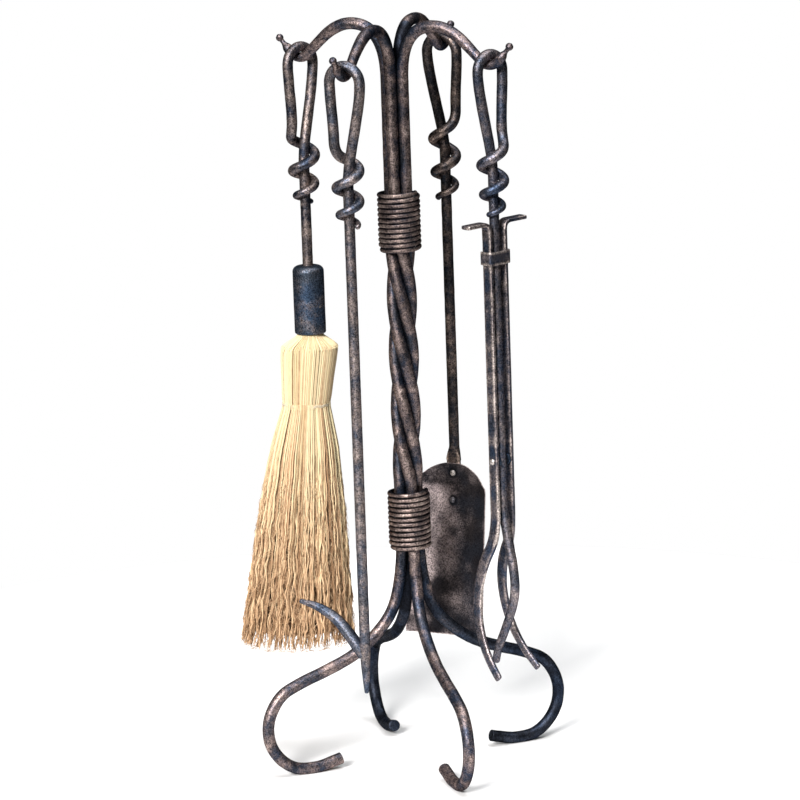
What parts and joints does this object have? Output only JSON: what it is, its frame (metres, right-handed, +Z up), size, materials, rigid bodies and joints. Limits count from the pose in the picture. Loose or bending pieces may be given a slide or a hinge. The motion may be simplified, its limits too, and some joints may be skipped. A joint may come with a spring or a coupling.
{
  "type": "fireplace tool set",
  "caption": "Wrought-iron fireplace tool set: a twisted stand with scrolled feet and hooks that hold a broom, a poker, an ash shovel and tongs.",
  "frame": {"origin": "on the floor, under the middle of the whole set's box", "axes": "+Z up; +X towards the hook that the tongs hang on, -X towards the broom, -Y towards the poker, +Y towards the shovel"},
  "size_m": [0.3311, 0.2766, 0.7999],
  "materials": {
    "wrought_iron": "dark iron with rubbed bronze highlights, mottled",
    "black_iron": "blue-black, lightly rubbed",
    "bright_rivet": "rubbed bright",
    "broom_fibre": "dry plant fibre",
    "stitch_cord": "plain twine",
    "wood": "plain"
  },
  "bodies": {
    "stand": {"stand_bar_tongs": "wrought_iron", "stand_bar_shovel": "wrought_iron", "stand_bar_broom": "wrought_iron", "stand_bar_poker": "wrought_iron", "collar_upper": "wrought_iron", "collar_lower": "wrought_iron"},
    "broom": {"broom_handle": "wrought_iron", "broom_ferrule": "black_iron", "broom_core": "wood", "broom_pin": "bright_rivet", "broom_fibres": "broom_fibre", "broom_stitch": "stitch_cord", "broom_neck_tie": "bright_rivet"},
    "poker": {"poker_shaft": "wrought_iron", "poker_prong": "wrought_iron"},
    "shovel": {"shovel_shaft": "wrought_iron", "shovel_pan": "wrought_iron", "shovel_rivet_upper": "bright_rivet", "shovel_rivet_lower": "bright_rivet"},
    "tongs": {"tongs_shaft": "wrought_iron"},
    "tongs_arms": {"tongs_arm_left": "wrought_iron", "tongs_arm_right": "wrought_iron", "tongs_strap": "wrought_iron", "tongs_pivot": "bright_rivet", "tongs_washer_left": "black_iron", "tongs_washer_right": "black_iron"}
  },
  "joints": [
    {"name": "broom_lift_off", "type": "slide", "parent": "stand", "child": "broom", "axis": [-0.6428, 0, 0.766], "range_m": [0, 0.12]},
    {"name": "poker_lift_off", "type": "slide", "parent": "stand", "child": "poker", "axis": [0, -0.6428, 0.766], "range_m": [0, 0.12]},
    {"name": "shovel_lift_off", "type": "slide", "parent": "stand", "child": "shovel", "axis": [0, 0.6428, 0.766], "range_m": [0, 0.12]},
    {"name": "tongs_lift_off", "type": "slide", "parent": "stand", "child": "tongs", "axis": [0.6428, 0, 0.766], "range_m": [0, 0.12]},
    {"name": "tongs_open", "type": "hinge", "parent": "tongs", "child": "tongs_arms", "pos_m": [0.1375, 0, 0.3375], "axis": [0.342, 0.9397, 0], "range_deg": [0, 18]}
  ]
}
